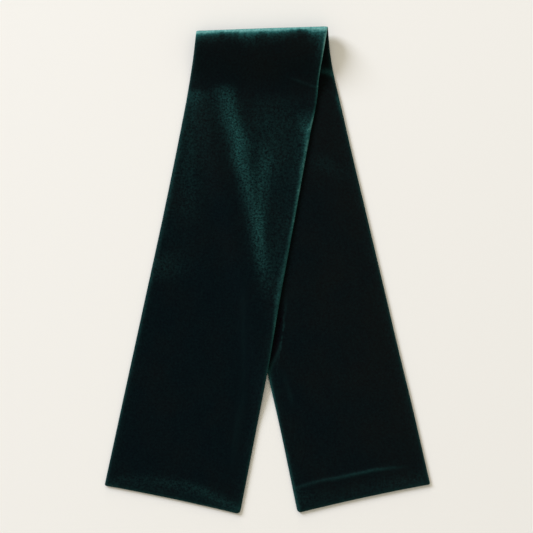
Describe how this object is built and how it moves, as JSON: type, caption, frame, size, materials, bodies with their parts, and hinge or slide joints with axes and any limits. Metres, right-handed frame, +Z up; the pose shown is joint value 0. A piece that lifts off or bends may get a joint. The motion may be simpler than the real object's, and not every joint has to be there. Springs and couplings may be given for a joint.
{
  "type": "velvet scarf",
  "caption": "Flat velvet scarf, folded once across its middle and laid with its two tails fanned apart, for wearing round the neck.",
  "frame": {"origin": "on the surface that the scarf lies on, at the middle of its footprint", "axes": "+Y runs the long way, from the two hems to the fold; +X points to the side where the lower tail's hem lies; +Z points up, out of the surface that the scarf lies on"},
  "size_m": [0.4873, 0.7286, 0.0268],
  "materials": {
    "velvet": "matte"
  },
  "bodies": {
    "root": {"outer_front": "velvet", "outer_turn": "velvet", "outer_back": "velvet", "inner_front": "velvet", "inner_turn": "velvet", "inner_back": "velvet"}
  },
  "joints": []
}
